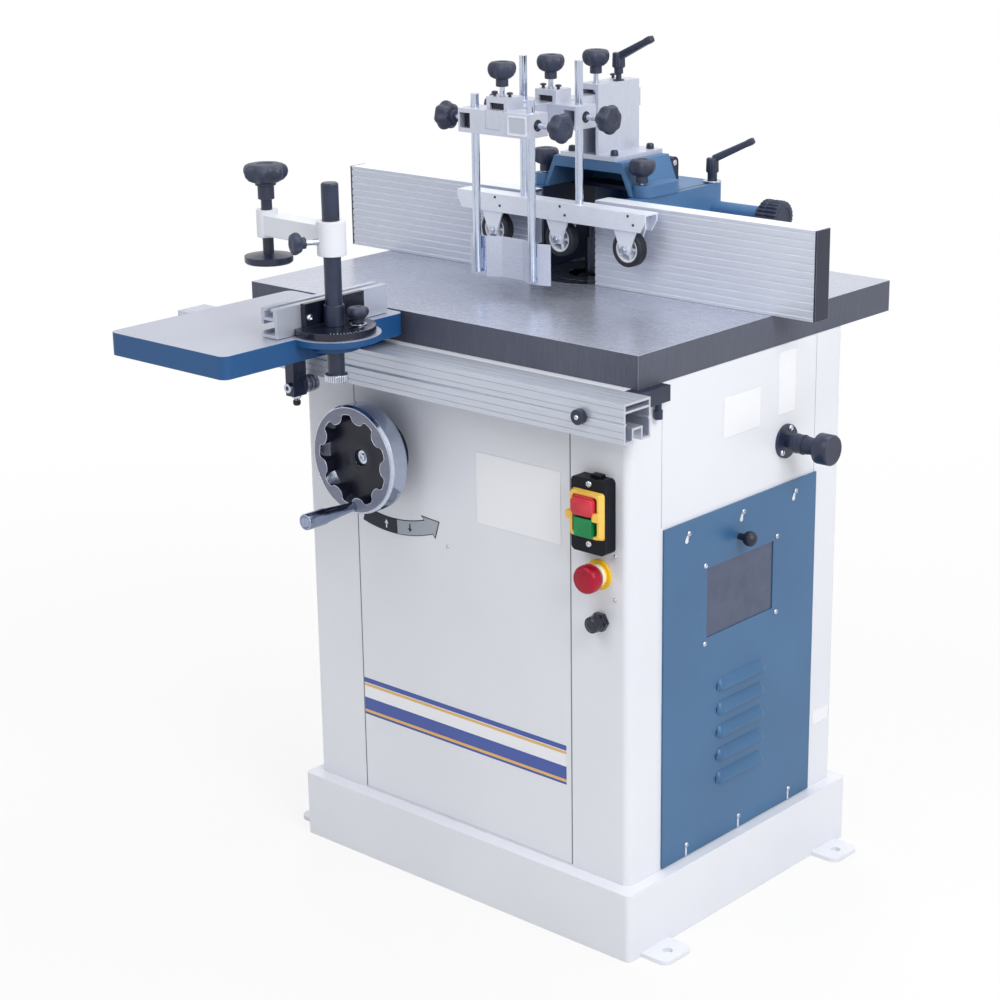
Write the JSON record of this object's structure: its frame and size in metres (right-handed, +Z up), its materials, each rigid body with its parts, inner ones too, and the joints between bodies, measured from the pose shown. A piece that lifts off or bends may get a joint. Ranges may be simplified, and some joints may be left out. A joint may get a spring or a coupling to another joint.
{
  "type": "spindle moulder",
  "caption": "Floor-standing spindle moulder with cast table, split fence, hood with pressure rollers, sliding mitre table, hold-down clamp and handwheel rise.",
  "frame": {"origin": "middle of the plinth's underside, on the floor, centred between the four foot holes", "axes": "+X to the operator's right, +Y away from the operator, +Z up"},
  "size_m": [0.919, 0.9415, 1.215],
  "materials": {
    "cabinet_white": "satin paint",
    "machine_blue": "satin paint",
    "table_iron": "ground top",
    "extruded_aluminium": "anodised",
    "bare_steel": "machined",
    "bright_chrome": "polished",
    "black_plastic": "moulded",
    "black_steel": "blackened",
    "cast_body": "as cast",
    "belt_rubber": "matt",
    "arm_white": "satin paint",
    "stop_red": "gloss",
    "start_green": "gloss",
    "stop_yellow": "gloss"
  },
  "bodies": {
    "frame": {"plinth": "cabinet_white", "cabinet": "cabinet_white", "front_panel": "cabinet_white", "side_cover": "machine_blue", "main_table": "table_iron", "table_rings": "bare_steel", "slide_rail": "extruded_aluminium", "rail_brackets": "black_steel", "guide_columns": "bare_steel", "switch_box": "black_plastic", "estop_collar": "stop_yellow", "cable_gland": "black_plastic", "bearing_flanges": "black_steel"},
    "carriage": {"spindle_carriage": "cast_body", "drive_belt": "belt_rubber", "motor_body": "cast_body"},
    "motor_rotor": {"motor_pulley": "bare_steel"},
    "crank": {"crank_handle": "bright_chrome"},
    "sliding_table": {"sliding_table": "machine_blue", "roller_block": "black_steel"},
    "mitre": {"mitre_disc": "black_steel", "mitre_fence": "extruded_aluminium"},
    "hood": {"hood": "machine_blue", "pressure_tower": "extruded_aluminium"},
    "spindle": {"spindle": "bare_steel"},
    "rise_screw": {"rise_screw": "bare_steel"},
    "handwheel": {"handwheel": "bright_chrome"},
    "guide_roller": {"guide_roller": "black_plastic"},
    "mitre_knob": {"mitre_knob": "black_plastic"},
    "hold_post": {"hold_post": "black_steel"},
    "hold_arm": {"hold_arm": "arm_white"},
    "hold_screw": {"hold_screw": "black_steel"},
    "hold_knob": {"hold_knob": "black_plastic"},
    "arm_lock_knob": {"arm_lock_knob": "black_plastic"},
    "fence_base": {"fence_base": "machine_blue"},
    "fence_plate_left": {"fence_plate_left": "extruded_aluminium"},
    "fence_plate_right": {"fence_plate_right": "extruded_aluminium"},
    "pressure_arm": {"pressure_arm": "extruded_aluminium"},
    "rear_holder": {"rear_holder": "extruded_aluminium"},
    "front_holder": {"front_holder": "extruded_aluminium"},
    "roller_bar": {"roller_bar": "bare_steel"},
    "pressure_shoe": {"pressure_shoe": "bare_steel"},
    "press_roller_1": {"press_roller_1": "belt_rubber"},
    "press_roller_2": {"press_roller_2": "belt_rubber"},
    "press_roller_3": {"press_roller_3": "belt_rubber"},
    "tower_knob": {"tower_knob": "black_plastic"},
    "rear_top_knob": {"rear_top_knob": "black_plastic"},
    "front_top_knob": {"front_top_knob": "black_plastic"},
    "rear_side_knobs": {"rear_side_knobs": "black_plastic"},
    "front_side_knobs": {"front_side_knobs": "black_plastic"},
    "hood_knob_left": {"hood_knob_left": "black_plastic"},
    "hood_knob_right": {"hood_knob_right": "black_plastic"},
    "tower_lever": {"tower_lever": "black_plastic"},
    "base_lever": {"base_lever": "black_plastic"},
    "adjust_knob": {"adjust_knob": "black_plastic"},
    "green_button": {"green_button": "start_green"},
    "red_button": {"red_button": "stop_red"},
    "estop_button": {"estop_button": "stop_red"},
    "lock_plunger": {"lock_plunger": "black_steel"}
  },
  "joints": [
    {"name": "wheel_turn", "type": "hinge", "parent": "frame", "child": "handwheel", "pos_m": [-0.15, -0.283, 0.653], "axis": [0, 1, 0], "range_deg": [-2160, 5040]},
    {"name": "spindle_rise", "type": "slide", "parent": "frame", "child": "carriage", "axis": [0, 0, 1], "range_m": [-0.0302, 0.0702]},
    {"name": "rise_screw_turn", "type": "hinge", "parent": "frame", "child": "rise_screw", "pos_m": [-0.15, 0.06, 0.55], "axis": [0, 0, 1], "range_deg": [-5045, 2165]},
    {"name": "crank_spin", "type": "hinge", "parent": "handwheel", "child": "crank", "pos_m": [-0.15, -0.35, 0.584], "axis": [0, 1, 0], "continuous": true},
    {"name": "motor_spin", "type": "hinge", "parent": "carriage", "child": "motor_rotor", "pos_m": [0.12, -0.06, 0.5], "axis": [0, 0, 1], "continuous": true},
    {"name": "spindle_spin", "type": "hinge", "parent": "carriage", "child": "spindle", "pos_m": [-0.08, 0.15, 0.6], "axis": [0, 0, 1], "continuous": true},
    {"name": "table_slide", "type": "slide", "parent": "frame", "child": "sliding_table", "axis": [1, 0, 0], "range_m": [-0.18, 0.33]},
    {"name": "guide_roller_spin", "type": "hinge", "parent": "sliding_table", "child": "guide_roller", "pos_m": [-0.2485, -0.2965, 0.7487], "axis": [0, 1, 0], "continuous": true},
    {"name": "mitre_swing", "type": "hinge", "parent": "sliding_table", "child": "mitre", "pos_m": [-0.105, -0.375, 0.865], "axis": [0, 0, 1], "range_deg": [-45, 45]},
    {"name": "mitre_knob_turn", "type": "hinge", "parent": "sliding_table", "child": "mitre_knob", "pos_m": [-0.08303, -0.35201, 0.875], "axis": [0, 0, 1], "range_deg": [-180, 180]},
    {"name": "hold_swivel", "type": "hinge", "parent": "sliding_table", "child": "hold_post", "pos_m": [-0.105, -0.375, 0.9], "axis": [0, 0, 1], "range_deg": [-170, 170]},
    {"name": "hold_lift", "type": "slide", "parent": "hold_post", "child": "hold_arm", "axis": [0, 0, 1], "range_m": [-0.02, 0.045]},
    {"name": "hold_feed", "type": "slide", "parent": "hold_arm", "child": "hold_screw", "axis": [0, 0, 1], "range_m": [-0.0141, 0.0221]},
    {"name": "hold_knob_turn", "type": "hinge", "parent": "hold_screw", "child": "hold_knob", "pos_m": [-0.2325, -0.375, 1.045], "axis": [0, 0, 1], "range_deg": [-1680, 2640]},
    {"name": "arm_lock_turn", "type": "hinge", "parent": "hold_arm", "child": "arm_lock_knob", "pos_m": [-0.11624, -0.40282, 0.9875], "axis": [-0.3746, -0.9272, 0], "range_deg": [-180, 180]},
    {"name": "fence_depth", "type": "slide", "parent": "frame", "child": "fence_base", "axis": [0, 1, 0], "range_m": [-0.03, 0.015]},
    {"name": "adjust_turn", "type": "hinge", "parent": "fence_base", "child": "adjust_knob", "pos_m": [0.14, 0.3048, 0.9473], "axis": [1, 0, 0], "range_deg": [-175, 90]},
    {"name": "base_lever_turn", "type": "hinge", "parent": "fence_base", "child": "base_lever", "pos_m": [0.018, 0.3128, 0.99], "axis": [0, 0, 1], "range_deg": [-85, 35]},
    {"name": "plate_left_slide", "type": "slide", "parent": "fence_base", "child": "fence_plate_left", "axis": [1, 0, 0], "range_m": [-0.03, 0.05]},
    {"name": "plate_right_slide", "type": "slide", "parent": "fence_base", "child": "fence_plate_right", "axis": [1, 0, 0], "range_m": [-0.05, 0.03]},
    {"name": "hood_flip", "type": "hinge", "parent": "fence_base", "child": "hood", "pos_m": [-0.08, 0.2583, 1.019], "axis": [-1, 0, 0], "range_deg": [0, 70]},
    {"name": "hood_knob_left_turn", "type": "hinge", "parent": "hood", "child": "hood_knob_left", "pos_m": [-0.174, 0.1463, 1], "axis": [0, 0, 1], "range_deg": [-180, 180]},
    {"name": "hood_knob_right_turn", "type": "hinge", "parent": "hood", "child": "hood_knob_right", "pos_m": [0.014, 0.1463, 1], "axis": [0, 0, 1], "range_deg": [-180, 180]},
    {"name": "pressure_reach", "type": "slide", "parent": "hood", "child": "pressure_arm", "axis": [0, 1, 0], "range_m": [-0.05, 0]},
    {"name": "rear_holder_slide", "type": "slide", "parent": "pressure_arm", "child": "rear_holder", "axis": [0, 1, 0], "range_m": [-0.015, 0.006]},
    {"name": "front_holder_slide", "type": "slide", "parent": "pressure_arm", "child": "front_holder", "axis": [0, 1, 0], "range_m": [-0.02, 0.02]},
    {"name": "roller_bar_lift", "type": "slide", "parent": "rear_holder", "child": "roller_bar", "axis": [0, 0, 1], "range_m": [-0.04, 0.06]},
    {"name": "shoe_lift", "type": "slide", "parent": "front_holder", "child": "pressure_shoe", "axis": [0, 0, 1], "range_m": [-0.018, 0.06]},
    {"name": "press_roller_1_spin", "type": "hinge", "parent": "roller_bar", "child": "press_roller_1", "pos_m": [-0.1885, 0.051, 0.9298], "axis": [0, 1, 0], "continuous": true},
    {"name": "press_roller_2_spin", "type": "hinge", "parent": "roller_bar", "child": "press_roller_2", "pos_m": [-0.0602, 0.051, 0.9298], "axis": [0, 1, 0], "continuous": true},
    {"name": "press_roller_3_spin", "type": "hinge", "parent": "roller_bar", "child": "press_roller_3", "pos_m": [0.0681, 0.051, 0.9298], "axis": [0, 1, 0], "continuous": true},
    {"name": "tower_knob_turn", "type": "hinge", "parent": "hood", "child": "tower_knob", "pos_m": [-0.08, 0.1533, 1.14], "axis": [0, 0, 1], "range_deg": [-180, 180]},
    {"name": "rear_top_knob_turn", "type": "hinge", "parent": "rear_holder", "child": "rear_top_knob", "pos_m": [-0.08, 0.051, 1.144], "axis": [0, 0, 1], "range_deg": [-180, 180]},
    {"name": "front_top_knob_turn", "type": "hinge", "parent": "front_holder", "child": "front_top_knob", "pos_m": [-0.08, -0.0545, 1.144], "axis": [0, 0, 1], "range_deg": [-180, 180]},
    {"name": "rear_side_knobs_turn", "type": "hinge", "parent": "rear_holder", "child": "rear_side_knobs", "pos_m": [-0.014, 0.051, 1.1118], "axis": [1, 0, 0], "range_deg": [-180, 180]},
    {"name": "front_side_knobs_turn", "type": "hinge", "parent": "front_holder", "child": "front_side_knobs", "pos_m": [-0.014, -0.0545, 1.1118], "axis": [1, 0, 0], "range_deg": [-180, 180]},
    {"name": "tower_lever_turn", "type": "hinge", "parent": "hood", "child": "tower_lever", "pos_m": [-0.069, 0.1933, 1.15], "axis": [0, 0, 1], "range_deg": [-60, 60]},
    {"name": "green_press", "type": "slide", "parent": "frame", "child": "green_button", "axis": [0, 1, 0], "range_m": [0, 0.004], "stiffness_N_per_m": 700},
    {"name": "red_press", "type": "slide", "parent": "frame", "child": "red_button", "axis": [0, 1, 0], "range_m": [0, 0.004], "stiffness_N_per_m": 700},
    {"name": "estop_press", "type": "slide", "parent": "frame", "child": "estop_button", "axis": [0, 1, 0], "range_m": [0, 0.005], "stiffness_N_per_m": 1500},
    {"name": "lock_push", "type": "slide", "parent": "frame", "child": "lock_plunger", "axis": [-1, 0, 0], "range_m": [0, 0.011], "stiffness_N_per_m": 300}
  ],
  "couplings": [
    {"joint": "spindle_rise", "follows": "wheel_turn", "m_per_rad": 0.000795},
    {"joint": "rise_screw_turn", "follows": "wheel_turn", "ratio": -1},
    {"joint": "spindle_spin", "follows": "motor_spin", "ratio": 2},
    {"joint": "guide_roller_spin", "follows": "table_slide", "rad_per_m": -76.923},
    {"joint": "hold_feed", "follows": "hold_knob_turn", "m_per_rad": 0.000477},
    {"joint": "adjust_turn", "follows": "fence_depth", "rad_per_m": 100}
  ]
}
